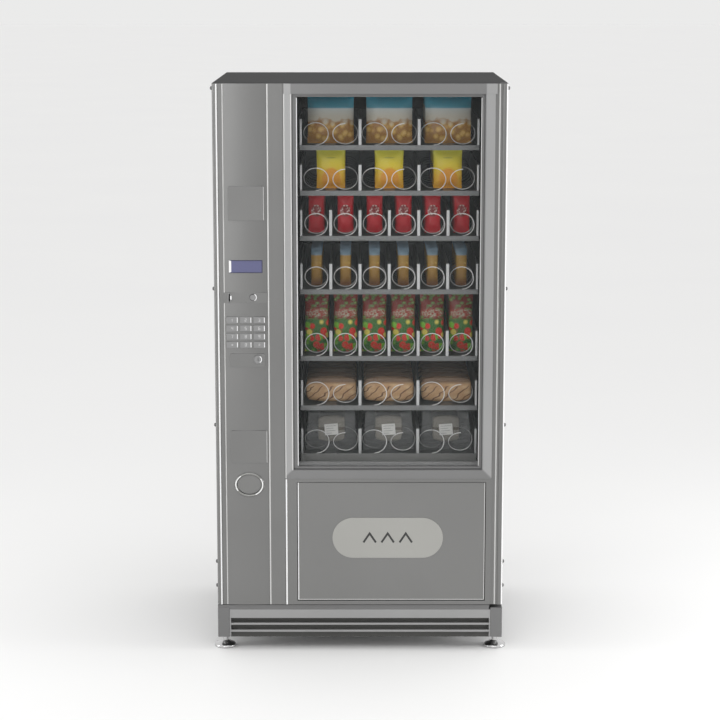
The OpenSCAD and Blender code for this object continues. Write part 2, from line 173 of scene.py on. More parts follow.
def shade_tops(mat, factor):
    """Paints shade on the faces that point straight up: a darker base colour as painted shade, and a duller
    roughness.
    """
    tree = mat.node_tree
    bsdf = tree.nodes["Principled BSDF"]
    geometry = tree.nodes.new("ShaderNodeNewGeometry")
    split = tree.nodes.new("ShaderNodeSeparateXYZ")
    tree.links.new(geometry.outputs["Normal"], split.inputs["Vector"])
    up = tree.nodes.new("ShaderNodeMapRange")
    up.inputs["From Min"].default_value = 0.9
    up.inputs["From Max"].default_value = 0.99
    tree.links.new(split.outputs["Z"], up.inputs["Value"])
    colour = bsdf.inputs["Base Color"].links[0].from_socket
    dark = tree.nodes.new("ShaderNodeMix")
    dark.data_type = "RGBA"
    dark.blend_type = "MULTIPLY"
    dark.inputs[7].default_value = (factor, factor, factor, 1)
    tree.links.new(up.outputs["Result"], dark.inputs["Factor"])
    tree.links.new(colour, dark.inputs[6])
    tree.links.new(dark.outputs[2], bsdf.inputs["Base Color"])
    dull = tree.nodes.new("ShaderNodeMath")
    dull.operation = "MAXIMUM"
    tree.links.new(bsdf.inputs["Roughness"].links[0].from_socket, dull.inputs[0])
    tree.links.new(up.outputs["Result"], dull.inputs[1])
    tree.links.new(dull.outputs["Value"], bsdf.inputs["Roughness"])


def paint_stile_highlights(mat, low, high, factor):
    """Painted highlight on the window frame's stiles: a lighter base colour, mitred where they meet the
    bottom rail.
    """
    tree = mat.node_tree
    bsdf = tree.nodes["Principled BSDF"]
    coords = tree.nodes.new("ShaderNodeTexCoord")
    split = tree.nodes.new("ShaderNodeSeparateXYZ")
    tree.links.new(coords.outputs["Object"], split.inputs["Vector"])
    outside = math_node(tree, "MAXIMUM", math_node(tree, "SUBTRACT", low.x, split.outputs["X"]),
                        math_node(tree, "SUBTRACT", split.outputs["X"], high.x))
    below = math_node(tree, "SUBTRACT", low.z, split.outputs["Z"])
    beside = math_node(tree, "DIVIDE", outside, 4 * MM, True)
    above = math_node(tree, "DIVIDE", math_node(tree, "SUBTRACT", outside, below), 8 * MM, True)
    stile = math_node(tree, "MULTIPLY", beside, above)
    colour = bsdf.inputs["Base Color"].links[0].from_socket
    stile_highlight = tree.nodes.new("ShaderNodeMix")
    stile_highlight.data_type = "RGBA"
    stile_highlight.blend_type = "MULTIPLY"
    stile_highlight.inputs[7].default_value = (factor, factor, factor, 1)
    tree.links.new(stile, stile_highlight.inputs["Factor"])
    tree.links.new(colour, stile_highlight.inputs[6])
    tree.links.new(stile_highlight.outputs[2], bsdf.inputs["Base Color"])


def glass_material():
    mat, tree, bsdf = new_material("pane")
    set_surface(bsdf, 0.03, 0.0, 0.0, 0.8)
    smear = add_noise(tree, 4.0, 3.0)
    tree.links.new(ramp(tree, smear, [(0.3, (0.10, 0.11, 0.11)), (0.7, (0.13, 0.14, 0.14))]),
                   bsdf.inputs["Base Color"])
    bsdf.inputs["Alpha"].default_value = 0.08
    return mat


GREY = (0.203, 0.203, 0.200)
MATS = {
    "door": finish_material("door_paint", GREY, 0.33, 0.75, 900, 0.04, 0.03),
    "cabinet": finish_material("cabinet_paint", (0.10, 0.10, 0.10), 0.38, 0.6, 900, 0.05, 0.04),
    "trim": finish_material("light_trim", (0.22, 0.22, 0.22), 0.30, 0.75, 900, 0.03, 0.01),
    "flap": finish_material("flap_paint", (0.214, 0.214, 0.210), 0.36, 0.7, 900, 0.03, 0.03),
    "plate": finish_material("push_plate", (0.375, 0.372, 0.352), 0.38, 0.6, 700, 0.03, 0.03, (0.1, 1, 1)),
    "ink": finish_material("lettering_ink", (0.030, 0.030, 0.030), 0.5, 0.0, 300, 0.1, 0.03),
    "pale_ink": finish_material("key_ink", (0.55, 0.55, 0.55), 0.5, 0.0, 300, 0.1, 0.03),
    "liner": finish_material("liner", (0.035, 0.035, 0.036), 0.6, 0.0, 250, 0.15, 0.15),
    "tray": finish_material("tray_paint", (0.20, 0.205, 0.205), 0.35, 0.5, 500, 0.05, 0.03),
    "cap": finish_material("divider_edge", (0.62, 0.63, 0.63), 0.4, 0.0, 300, 0.05, 0.03),
    "wire": finish_material("bright_wire", (0.97, 0.97, 0.96), 0.3, 0.0, 800, 0.02, 0.02),
    "ring": finish_material("cup_ring", (0.27, 0.27, 0.26), 0.3, 0.8, 200, 0.02, 0.0),
    "base": finish_material("base_paint", (0.18, 0.18, 0.18), 0.45, 0.5, 900, 0.05, 0.04),
    "slat": finish_material("grille_paint", (0.34, 0.34, 0.34), 0.33, 0.7, 600, 0.04, 0.03, (0.05, 1, 1)),
    "gasket": finish_material("gasket", (0.17, 0.17, 0.17), 0.35, 0.4, 600, 0.05, 0.03),
    "black": finish_material("black_moulding", (0.02, 0.02, 0.021), 0.5, 0.0, 400, 0.2, 0.1),
    "foot": finish_material("polished_foot", (0.58, 0.58, 0.58), 0.2, 1.0, 200, 0.03, 0.0),
    "bolt": finish_material("bolt_head", (0.14, 0.14, 0.14), 0.35, 0.8, 400, 0.08, 0.03),
    "steel": finish_material("zinc_steel", (0.40, 0.40, 0.41), 0.3, 1.0, 400, 0.06, 0.05),
    "bin": finish_material("bin_moulding", (0.05, 0.05, 0.052), 0.6, 0.0, 300, 0.15, 0.2),
    "machine": finish_material("machinery", (0.06, 0.06, 0.065), 0.5, 0.5, 200, 0.2, 0.1),
    "display_rim": finish_material("display_rim", (0.04, 0.04, 0.09), 0.3, 0.0, 200, 0.05, 0.02),
    "key": finish_material("key_cap", (0.26, 0.26, 0.26), 0.3, 0.6, 500, 0.04, 0.03),
    "display": finish_material("display_window", (0.093, 0.097, 0.205), 0.16, 0.0, 150, 0.10, 0.0, (1, 1, 1),
                               0.6),
    # painted highlight: near-white colour for light caught on rounded edges, crests and chamfers
    "painted_highlight": finish_material("painted_highlight", (0.86, 0.86, 0.86), 0.3, 0.0, 300, 0.02, 0.02),
    "sill": finish_material("sill_paint", (0.30, 0.30, 0.30), 0.5, 0.0, 500, 0.05, 0.03),
    # painted light: lighter grey that lifts the shadow on the lowest tray's lip
    "lip": finish_material("lip_painted_light", (0.30, 0.30, 0.29), 0.45, 0.2, 500, 0.05, 0.03),
    # painted shade: near-black for the space behind the kick grille
    "painted_recess_shade": finish_material("painted_recess_shade", (0.070, 0.070, 0.066), 0.8, 0.0, 300, 0.05, 0.03),
    # painted highlight, paler: light grey for softer light on rounded edges
    "painted_soft_highlight": finish_material("painted_soft_highlight", (0.58, 0.58, 0.57), 0.3, 0.2, 300, 0.03, 0.02),
    "pane": glass_material(),
}


def fade_back(mat, near, far, factor):
    """Duller wire towards the back of the machine, where less light falls."""
    tree = mat.node_tree
    bsdf = tree.nodes["Principled BSDF"]
    coords = tree.nodes.new("ShaderNodeTexCoord")
    split = tree.nodes.new("ShaderNodeSeparateXYZ")
    tree.links.new(coords.outputs["Object"], split.inputs["Vector"])
    depth = tree.nodes.new("ShaderNodeMapRange")
    depth.inputs["From Min"].default_value = near
    depth.inputs["From Max"].default_value = far
    tree.links.new(split.outputs["Y"], depth.inputs["Value"])
    colour = bsdf.inputs["Base Color"].links[0].from_socket
    dull = tree.nodes.new("ShaderNodeMix")
    dull.data_type = "RGBA"
    dull.blend_type = "MULTIPLY"
    dull.inputs[7].default_value = (factor, factor, factor, 1)
    tree.links.new(depth.outputs["Result"], dull.inputs["Factor"])
    tree.links.new(colour, dull.inputs[6])
    tree.links.new(dull.outputs[2], bsdf.inputs["Base Color"])


# painted shade: the tops of the door, cabinet and window trim are darkened
shade_tops(MATS["door"], 0.22)
shade_tops(MATS["cabinet"], 0.50)
shade_tops(MATS["trim"], 0.22)
fade_back(MATS["wire"], FRONT + 205 * MM, FRONT + 260 * MM, 0.06)
pane_low, pane_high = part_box("window_glass")
# painted highlight: lighter colour on the window frame's stiles
paint_stile_highlights(MATS["trim"], pane_low, pane_high, 1.65)


# ---- carried-over frame nodes ----
def dress(node, material, width=0.0, segments=2):
    """Gives a frame node its material and, with a width, rounded edges."""
    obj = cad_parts[node]
    if obj.data.materials:
        obj.data.materials[0] = MATS[material]
    else:
        obj.data.materials.append(MATS[material])
    if width:
        weld = obj.modifiers.new("weld", "WELD")
        weld.merge_threshold = 0.00002
        flat = obj.modifiers.new("flat", "DECIMATE")
        flat.decimate_type = "DISSOLVE"
        flat.angle_limit = math.radians(0.3)
        edge = obj.modifiers.new("edge", "BEVEL")
        edge.width = width
        edge.segments = segments
        edge.limit_method = "ANGLE"
        edge.angle_limit = math.radians(32)
        edge.use_clamp_overlap = True
        even = obj.modifiers.new("even", "WEIGHTED_NORMAL")
        even.keep_sharp = False
        even.weight = 100


for node, material, width in (
    ("cabinet_shell", "cabinet", 1.6 * MM), ("inner_liner", "liner", 1.5 * MM),
    ("base_frame", "base", 1.2 * MM),
    ("kick_grille", "slat", 0.9 * MM), ("door_hinges", "steel", 0), ("delivery_bin", "bin", 1.0 * MM),
    ("refrigeration_unit", "machine", 1.5 * MM), ("condenser_fan", "black", 0),
    ("door_frame", "door", 1.2 * MM),
    ("control_fascia", "door", 0.5 * MM), ("fascia_covers", "door", 0.9 * MM),
    ("display", "display", 0.8 * MM),
    ("coin_plate", "door", 0.5 * MM), ("coin_mechanism", "black", 1.5 * MM),
    ("window_frame", "trim", 1.5 * MM),
    ("window_gasket", "gasket", 3.0 * MM), ("window_glass", "pane", 0), ("flap_surround", "door", 0.9 * MM),
    ("delivery_flap", "flap", 1.1 * MM), ("push_plate", "plate", 0.8 * MM), ("coin_flap", "flap", 0.3 * MM),
    ("coin_return_button", "key", 1.2 * MM), ("door_lock", "key", 1.2 * MM),
):
    dress(node, material, width)
for number in range(1, 13):
    dress(f"key_{number}", "key", 1.6 * MM, 3)
for row in range(1, 8):
    dress(f"tray_{row}", "tray", 0.4 * MM, 1)


# ---- mesh helpers ----
def add_piece(name, mesh, body, slot, material, bevel=0.0, smooth_angle=35, place=None):
    obj = bpy.data.objects.new(name, mesh)
    bpy.context.scene.collection.objects.link(obj)
    if place is not None:
        obj.location = place
    if not mesh.materials:
        mesh.materials.append(material)
    mesh.shade_smooth()
    mesh.set_sharp_from_angle(angle=math.radians(smooth_angle))
    if bevel:
        edge = obj.modifiers.new("edge", "BEVEL")
        edge.width = bevel
        edge.segments = 2
        edge.limit_method = "ANGLE"
        edge.angle_limit = math.radians(35)
    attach(obj, body)
    return obj


def mesh_from(name, build):
    """A mesh made by build(bm)."""
    bm = bmesh.new()
    build(bm)
    bmesh.ops.recalc_face_normals(bm, faces=bm.faces)
    mesh = bpy.data.meshes.new(name)
    bm.to_mesh(mesh)
    bm.free()
    return mesh


def bridge(bm, a, b):
    """Faces between two closed loops of vertices."""
    count = len(a)
    for i in range(count):
        j = (i + 1) % count
        bm.faces.new((a[i], a[j], b[j], b[i]))


def make_piece(name, build, *rest):
    """A piece whose mesh is made by build(bm)."""
    return add_piece(name, mesh_from(name, build), *rest)


def add_block(bm, low, high):
    corners = [bm.verts.new((x, y, z)) for x in (low[0], high[0]) for y in (low[1], high[1])
               for z in (low[2], high[2])]
    for ids in ((0, 1, 3, 2), (4, 6, 7, 5), (0, 4, 5, 1), (2, 3, 7, 6), (0, 2, 6, 4), (1, 5, 7, 3)):
        bm.faces.new([corners[i] for i in ids])


def add_tube(bm, points, radius, sides=8, closed=False):
    """A round tube along points, closed or with end caps."""
    rings = []
    count = len(points)
    normal = None
    for i, point in enumerate(points):
        if closed:
            tangent = (points[(i + 1) % count] - points[i - 1]).normalized()
        else:
            tangent = (points[min(i + 1, count - 1)] - points[max(i - 1, 0)]).normalized()
        if normal is None:
            normal = tangent.orthogonal().normalized()
        normal = (normal - tangent * normal.dot(tangent)).normalized()
        side = tangent.cross(normal)
        rings.append([bm.verts.new(point + radius * (normal * math.cos(a) + side * math.sin(a)))
                      for a in (2 * math.pi * s / sides for s in range(sides))])
    pairs = list(zip(rings, rings[1:]))
    if closed:
        pairs.append((rings[-1], rings[0]))
    for a, b in pairs:
        for s in range(sides):
            t = (s + 1) % sides
            bm.faces.new((a[s], a[t], b[t], b[s]))
    if not closed:
        bm.faces.new(rings[0])
        bm.faces.new(rings[-1])


def add_lathe(bm, centre, axis, profile, sides=48):
    """A closed turned form: profile is (distance along axis, radius), starting and ending on the axis."""
    axis = Vector(axis).normalized()
    across = axis.orthogonal().normalized()
    other = axis.cross(across)
    rings = []
    for along, radius in profile:
        base = Vector(centre) + axis * along
        if radius < 1e-7:
            rings.append([bm.verts.new(base)])
        else:
            rings.append([bm.verts.new(base + radius * (across * math.cos(a) + other * math.sin(a)))
                          for a in (2 * math.pi * s / sides for s in range(sides))])
    for a, b in zip(rings, rings[1:]):
        for s in range(sides):
            t = (s + 1) % sides
            corners = [a[s % len(a)], a[t % len(a)], b[t % len(b)], b[s % len(b)]]
            unique = list(dict.fromkeys(corners))
            if len(unique) > 2:
                bm.faces.new(unique)


# ---- trays: divider edge trims ----
def tray_trims(row):
    low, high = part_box(f"tray_{row}")
    lanes = row_lanes(row)
    top, lip = high.z, lip_top(row)

    def build(bm):
        for k in range(lanes + 1):
            if k == 0:
                x = (low.x, low.x + 7 * MM)
            elif k == lanes:
                x = (high.x - 7 * MM, high.x)
            else:
                mid = tray_mid(row) + (k - lanes / 2) * 6 * LANE / lanes
                x = (mid - 5 * MM, mid + 5 * MM)
            add_block(bm, (x[0], low.y, lip), (x[1], low.y + 6 * MM, top))
    mesh = mesh_from(f"divider_trims_{row}", build)
    add_piece(f"divider_trims_{row}", mesh, f"tray_{row}", "tray_grey", MATS["cap"], 1.6 * MM)


# ---- coils ----
def coil_points(row, k):
    """Centre line of a coil: half turns whose planes lean to and fro, from the front to the back."""
    paired = row in PAIRED_ROWS
    pitch = WIDE_PITCH if paired else SLIM_PITCH
    turns = WIDE_TURNS if paired else SLIM_TURNS
    flip = -1 if paired and k % 2 == 1 else 1
    bend = math.sqrt(COIL_R ** 2 + pitch ** 2 / 16)
    axis = Vector((coil_x(row, k), coil_start(row), lip_top(row) + COIL_LIFT))
    steps = 14
    points = []
    for half in range(2 * turns):
        side = 1 if half % 2 == 0 else -1
        for step in range(steps + (half == 2 * turns - 1)):
            turn = math.pi * step / steps
            offset = Vector((side * bend * math.sin(turn), 0, -side * COIL_R * math.cos(turn))) * flip
            offset.y = half * pitch / 2 + pitch / 4 * (1 - math.cos(turn))
            points.append(axis + offset)
    return axis, points


def add_coil(bm, row, k):
    axis, points = coil_points(row, k)
    add_tube(bm, points, WIRE_R * 0.97, 10)
    end = points[-1]
    hub = Vector((axis.x, end.y, axis.z))
    add_tube(bm, [end, end + (hub - end) * 0.5, hub], WIRE_R * 1.2, 10)
    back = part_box(f"tray_{row}")[1].y
    add_lathe(bm, hub - Vector((0, 3 * MM, 0)), (0, 1, 0),
              [(0, 0), (0, 6 * MM), (1 * MM, 7 * MM), (9 * MM, 7 * MM), (10 * MM, 6 * MM), (10 * MM, 4 * MM),
               (min(30 * MM, back - hub.y - 2 * MM), 4 * MM), (min(30 * MM, back - hub.y - 2 * MM), 0)], 24)


def row_coils(row):
    if row == MOVING_ROW:
        for k in range(6):
            mesh = mesh_from(f"wire_{row}_{k + 1}", lambda bm: add_coil(bm, row, k))
            obj = add_piece(f"wire_coil_{k + 1}", mesh, f"coil_{k + 1}", "coil_wire", MATS["wire"])
            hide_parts(f"coil_{k + 1}")
    else:
        mesh = mesh_from(f"wires_{row}", lambda bm: [add_coil(bm, row, k) for k in range(6)])
        obj = add_piece(f"wire_coils_row_{row}", mesh, f"tray_{row}", "coil_wire", MATS["wire"])
        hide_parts(f"coils_row_{row}")


for row in range(1, 8):
    tray_trims(row)
    row_coils(row)


# ---- feet and bolt heads ----
def levelling_feet():
    low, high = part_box("levelling_feet")
    radius = 36 * MM

    def build(bm):
        for x in (low.x + radius, high.x - radius):
            for y in (low.y + radius, high.y - radius):
                add_lathe(bm, (x, y, 0), (0, 0, 1),
                          [(0, 0), (0, 34 * MM), (1 * MM, 35.6 * MM), (5 * MM, 36 * MM), (8 * MM, 35 * MM),
                           (11 * MM, 31 * MM), (13.5 * MM, 25 * MM), (16 * MM, 17 * MM),
                           (18.5 * MM, 12 * MM),
                           (20 * MM, 9 * MM), (46.9 * MM, 9 * MM), (46.9 * MM, 0)], 64)
                add_lathe(bm, (x, y, 35 * MM), (0, 0, 1),
                          [(0, 0), (0, 13 * MM), (1 * MM, 14 * MM), (7 * MM, 14 * MM), (8 * MM, 13 * MM),
                           (8 * MM, 0)], 6)
    obj = make_piece("chrome_feet", build, "cabinet", "foot_chrome", MATS["foot"])
    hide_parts("levelling_feet")


def bolt_heads():
    low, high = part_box("side_screws")
    y = (low.y + high.y) / 2
    heights = (1812, 1178, 735, 281, 200)

    def build(bm):
        for z in heights:
            for x, out in ((low.x, -1), (high.x, 1)):
                add_lathe(bm, (x - out * 20 * MM, y, z * MM), (out, 0, 0),
                          [(0, 0), (0, 2.9 * MM), (10 * MM, 2.9 * MM), (10 * MM, 5.9 * MM),
                           (17 * MM, 5.9 * MM),
                           (19 * MM, 4.4 * MM), (19.8 * MM, 2.4 * MM), (20 * MM, 0)], 32)
    obj = make_piece("bolt_heads", build, "cabinet", "screw_dark", MATS["bolt"])
    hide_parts("side_screws")


levelling_feet()
bolt_heads()


# ---- control column trims ----
def oval_points(centre, a, b, y, count=96):
    return [Vector((centre[0] + a * math.cos(t), y, centre[1] + b * math.sin(t)))
            for t in (2 * math.pi * i / count for i in range(count))]


def add_oval_ring(bm, centre, outer, inner, y, rise):
    """A rounded ring between two ovals, standing on plane y and rising towards -Y."""
    sections = 10
    count = 96
    rings = []
    for i in range(count):
        t = 2 * math.pi * i / count
        c, s = math.cos(t), math.sin(t)
        ring = []
        for k in range(sections + 1):
            w = k / sections
            a = inner[0] + (outer[0] - inner[0]) * (1 - math.cos(math.pi * w)) / 2
            b = inner[1] + (outer[1] - inner[1]) * (1 - math.cos(math.pi * w)) / 2
            ring.append(bm.verts.new((centre[0] + a * c, y - rise * math.sin(math.pi * w),
                                      centre[1] + b * s)))
        rings.append(ring)
    for i in range(count):
        a, b = rings[i], rings[(i + 1) % count]
        for k in range(sections):
            bm.faces.new((a[k], b[k], b[k + 1], a[k + 1]))
        bm.faces.new((a[sections], b[sections], b[0], a[0]))


def coin_cup_piece():
    low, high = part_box("coin_cup")
    centre = ((low.x + high.x) / 2, (low.z + high.z) / 2)
    outer = ((high.x - low.x) / 2, (high.z - low.z) / 2)
    inner = (outer[0] - 8 * MM, outer[1] - 8 * MM)

    def build(bm):
        add_oval_ring(bm, centre, outer, inner, low.y + 3.5 * MM, 3.5 * MM)
        add_oval_ring(bm, centre, (outer[0] - 0.3 * MM, outer[1] - 0.3 * MM), inner, low.y + 3.6 * MM,
                      -2.2 * MM)

    def cup(bm):
        depth = [(low.y + 3.5 * MM, 0), (low.y + 30 * MM, 0.6 * MM), (high.y - 12 * MM, 2 * MM),
                 (high.y - 5 * MM, 6 * MM), (high.y - 3.2 * MM, 14 * MM)]
        outside = [(high.y, 10 * MM), (high.y - 3 * MM, -1 * MM), (low.y + 5.5 * MM, -3.5 * MM)]
        loops = [[bm.verts.new(p) for p in oval_points(centre, inner[0] - cut, inner[1] - cut, y)]
                 for y, cut in depth + outside]
        for a, b in zip(loops[:4], loops[1:5]):
            bridge(bm, a, b)
        bm.faces.new(loops[4])
        for a, b in zip(loops[5:], loops[6:]):
            bridge(bm, a, b)
        bm.faces.new(loops[5])
        bridge(bm, loops[0], loops[7])

    def glint(start, end):
        """A near-white tube along part of the ring's crest: a painted glint."""
        a, b = (outer[0] + inner[0]) / 2, (outer[1] + inner[1]) / 2
        turns = [math.radians(start + (end - start) * i / 24) for i in range(25)]
        return [Vector((centre[0] + a * math.cos(t), low.y + 0.4 * MM, centre[1] + b * math.sin(t)))
                for t in turns]

    def glints(bm):
        add_tube(bm, glint(128, 212), 1.6 * MM, 10)
        add_tube(bm, glint(-62, 34), 1.6 * MM, 10)

    ring = make_piece("coin_cup_ring", build, "door", "chrome_trim", MATS["ring"])
    # painted glints on the cup ring
    make_piece("coin_cup_glints", glints, "door", "chrome_trim", MATS["painted_highlight"])
    inside = make_piece("coin_cup_inside", cup, "door", "coin_black", MATS["steel"])
    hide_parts("coin_cup")
    return inside


def fascia_trims():
    slot_centre = (-411 * MM, 1161 * MM)
    low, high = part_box("coin_return_button")
    button = ((low.x + high.x) / 2, (low.z + high.z) / 2)
    plate_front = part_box("coin_plate")[0].y
    low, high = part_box("door_lock")
    lock = ((low.x + high.x) / 2, low.z + 13 * MM)
    cover_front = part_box("fascia_covers")[0].y

    def build(bm):
        add_oval_ring(bm, slot_centre, (5 * MM, 15.5 * MM), (2.2 * MM, 12.8 * MM), plate_front, 2.2 * MM)
        add_oval_ring(bm, button, (12 * MM, 12 * MM), (9.6 * MM, 9.6 * MM), plate_front, 2 * MM)
        add_oval_ring(bm, lock, (15 * MM, 15 * MM), (13.3 * MM, 13.3 * MM), cover_front, 1.5 * MM)

    def crescent(centre, radius, y):
        return lambda bm: add_tube(bm, [
            Vector((centre[0] + radius * math.cos(t), y, centre[1] + radius * math.sin(t)))
            for t in (math.radians(-62 + 124 * i / 16) for i in range(17))], 1.7 * MM, 8)
    make_piece("fascia_bezels", build, "door", "frame_light", MATS["key"])
    # painted highlights: a near-white lip beside the coin slot and crescents on the button and lock
    add_piece("slot_highlight", mesh_from("slot_highlight", lambda bm: half_round(
        bm, slot_centre[0] + 4.6 * MM, (slot_centre[1] - 6 * MM, slot_centre[1] + 6 * MM),
        plate_front - 1 * MM, 2.2 * MM)),
        "door", "chrome_trim", MATS["painted_highlight"])
    add_piece("button_highlight", mesh_from("button_highlight", crescent(button, 11 * MM, FRONT - 3 * MM)),
              "door", "chrome_trim", MATS["painted_highlight"])
    add_piece("lock_highlight", mesh_from("lock_highlight", crescent(lock, 11 * MM, FRONT - 4.2 * MM)),
              "door_lock", "chrome_trim", MATS["painted_highlight"])


def half_round(bm, x, z, y, radius, steps=8):
    """An upright half-round bead standing on plane y."""
    turns = [math.pi * i / steps for i in range(steps + 1)]
    low, high = [[bm.verts.new((x - radius * math.cos(t), y - radius * math.sin(t), at)) for t in turns]
                 for at in z]
    for i in range(steps):
        bm.faces.new((low[i], low[i + 1], high[i + 1], high[i]))
    bm.faces.new((low[steps], low[0], high[0], high[steps]))
    bm.faces.new(low)
    bm.faces.new(high)


def door_beads():
    """Upright beads beside the control column, down both edges of the door and beside the window; their
    near-white and pale grey colours are painted highlights along rounded edges.
    """
    low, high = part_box("control_fascia")
    frame_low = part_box("window_frame")[0]
    glass_low, glass_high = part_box("window_glass")
    surround_low, surround_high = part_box("flap_surround")
    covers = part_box("fascia_covers")[0]
    z = (low.z + 1 * MM, high.z - 1 * MM)

    def bright(bm):
        half_round(bm, -446 * MM, z, FRONT + 0.6 * MM, 2.1 * MM)
        half_round(bm, 456.2 * MM, z, FRONT + 2.6 * MM, 2.6 * MM)
        half_round(bm, surround_low.x + 2.6 * MM, (z[0], surround_high.z - 2 * MM), FRONT + 0.3 * MM,
                   2.4 * MM)
        half_round(bm, glass_low.x + 15.5 * MM, (glass_low.z + 12 * MM, glass_high.z - 12 * MM),
                   FRONT + 10 * MM, 1.5 * MM)

    def soft(bm):
        for edge, cover_z in ((-301.5 * MM, (1406 * MM, 1510 * MM)), (-296.5 * MM, (629 * MM, 731 * MM))):
            half_round(bm, edge, cover_z, covers.y + 0.5 * MM, 0.8 * MM)
        half_round(bm, low.x + 1.7 * MM, z, FRONT + 3 * MM, 1.7 * MM)
        half_round(bm, high.x + 4 * MM, z, FRONT + 2 * MM, 2.2 * MM)
        half_round(bm, frame_low.x + 1.7 * MM, (frame_low.z + 2 * MM, glass_high.z), frame_low.y + 2.4 * MM,
                   1.6 * MM)
        half_round(bm, glass_low.x - 1.8 * MM, (glass_low.z, glass_high.z), frame_low.y + 2.4 * MM, 1.8 * MM)
        half_round(bm, 434 * MM, z, FRONT + 4.4 * MM, 2.4 * MM)
        half_round(bm, glass_high.x - 11.5 * MM, (glass_low.z + 12 * MM, glass_high.z - 12 * MM),
                   FRONT + 10 * MM, 1.7 * MM)
    make_piece("painted_highlight_beads", bright, "door", "frame_light", MATS["painted_highlight"])
    make_piece("painted_soft_highlight_beads", soft, "door", "frame_light", MATS["painted_soft_highlight"])


def flap_edges():
    """The rolled left, right and lower edges of the delivery flap, in near-white and pale grey as painted
    highlights.
    """
    low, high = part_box("delivery_flap")
    pin = 8.5 * MM
    left, right = low.x + pin, high.x - pin
    top = high.z - 17 * MM
    y = FRONT + 3.6 * MM

    def bright(bm):
        half_round(bm, left + 1.8 * MM, (low.z + 1 * MM, top), y, 1.8 * MM)

    def soft(bm):
        half_round(bm, right - 1.5 * MM, (low.z + 1 * MM, top), y, 1.4 * MM)
        add_tube(bm, [Vector((left + 3 * MM, y, low.z + 1.5 * MM)),
                      Vector((right - 3 * MM, y, low.z + 1.5 * MM))], 1.4 * MM, 10)
    make_piece("flap_highlight_edge", bright, "delivery_flap", "flap_grey", MATS["painted_highlight"])
    make_piece("flap_soft_highlights", soft, "delivery_flap", "flap_grey", MATS["painted_soft_highlight"])


def window_lining():
    """Thin lining of the window opening and the sill behind the glass."""
    low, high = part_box("window_glass")
    back = FRONT + 8.2 * MM
    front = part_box("window_frame")[0].y + 3 * MM
    thick = 1.4 * MM

    def lining(bm):
        add_block(bm, (low.x, front, low.z), (low.x + thick, back, high.z))
        add_block(bm, (high.x - thick, front, low.z), (high.x, back, high.z))
        add_block(bm, (low.x + thick, front, low.z), (high.x - thick, back, low.z + thick))
        add_block(bm, (low.x + thick, front, high.z - thick), (high.x - thick, back, high.z))

    def sill(bm):
        add_block(bm, (low.x + 0.5 * MM, high.y + 1 * MM, low.z + 0.2 * MM),
                  (high.x - 0.5 * MM, high.y + 17 * MM, low.z + 15 * MM))
        add_block(bm, (low.x + 0.5 * MM, high.y + 1 * MM, low.z + 15.4 * MM),
                  (high.x - 0.5 * MM, high.y + 19 * MM, low.z + 18 * MM))
    make_piece("window_lining", lining, "door", "frame_light", MATS["gasket"])
    make_piece("window_sill", sill, "door", "door_grey", MATS["sill"], 0.8 * MM)


def lower_covers():
    """The lighter cover on the lowest tray's lip, painted light that lifts the shadow on that lip, and the
    dark sheet behind the kick grille's slots, painted shade.
    """
    low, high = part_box("tray_7")
    lip = lip_top(7)
    cover = mesh_from("lip_light_cover", lambda bm: add_block(
        bm, (low.x, low.y - 1.2 * MM, lip - 25 * MM), (high.x, low.y - 0.1 * MM, lip + 0.4 * MM)))
    add_piece("lip_light_cover_7", cover, "tray_7", "tray_grey", MATS["lip"], 0.4 * MM)
    # a dark sheet behind the grille's slots: painted shade
    low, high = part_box("kick_grille")
    sheet = mesh_from("grille_shade_sheet", lambda bm: add_block(
        bm, (low.x + 4.5 * MM, high.y - 1.6 * MM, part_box("base_frame")[0].z + 1 * MM),
        (high.x - 4.5 * MM, high.y - 0.2 * MM, high.z - 30 * MM)))
    add_piece("grille_shade_sheet", sheet, "cabinet", "base_steel", MATS["painted_recess_shade"])


def key_edges():
    # a near-white bead on each key's right edge: painted highlight
    for number in range(1, 13):
        low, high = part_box(f"key_{number}")
        mid = (low.z + high.z) / 2
        mesh = mesh_from(f"key_highlight_{number}", lambda bm: half_round(
            bm, high.x - 2.6 * MM, (mid - 8 * MM, mid + 8 * MM), low.y + 0.9 * MM, 1.5 * MM))
        add_piece(f"key_highlight_{number}", mesh, f"key_{number}", "key_grey", MATS["painted_highlight"])


def display_edge():
    """The display's sloping left edge, in near-white as a painted highlight, and its thin frame."""
    low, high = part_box("display")
    y = FRONT + 1 * MM

    def edge(bm):
        a = [bm.verts.new(p) for p in ((low.x + 0.5 * MM, y, low.z + 1 * MM),
                                       (low.x + 7.5 * MM, low.y - 0.2 * MM, low.z + 3 * MM),
                                       (low.x + 7.5 * MM, low.y - 0.2 * MM, high.z - 3 * MM),
                                       (low.x + 0.5 * MM, y, high.z - 1 * MM))]
        b = [bm.verts.new((v.co.x, high.y - 1 * MM, v.co.z)) for v in a]
        bm.faces.new(a)
        bm.faces.new(b)
        for i in range(4):
            j = (i + 1) % 4
            bm.faces.new((a[i], a[j], b[j], b[i]))

    def rim(bm):
        front = low.y - 0.4 * MM
        wide = 2.4 * MM
        x0 = low.x + 8 * MM
        for x, z in (((x0, high.x - 0.5 * MM), (high.z - wide - 0.5 * MM, high.z - 0.5 * MM)),
                     ((x0, high.x - 0.5 * MM), (low.z + 0.5 * MM, low.z + 1.7 * MM)),
                     ((high.x - wide - 0.5 * MM, high.x - 0.5 * MM),
                      (low.z + 1.7 * MM, high.z - wide - 0.5 * MM))):
            add_block(bm, (x[0], front, z[0]), (x[1], high.y - 1 * MM, z[1]))
    make_piece("display_edge", edge, "door", "chrome_trim", MATS["painted_highlight"])
    make_piece("display_rim", rim, "door", "display_violet", MATS["display_rim"])


coin_cup_piece()
fascia_trims()
door_beads()
flap_edges()
window_lining()
lower_covers()
key_edges()
display_edge()


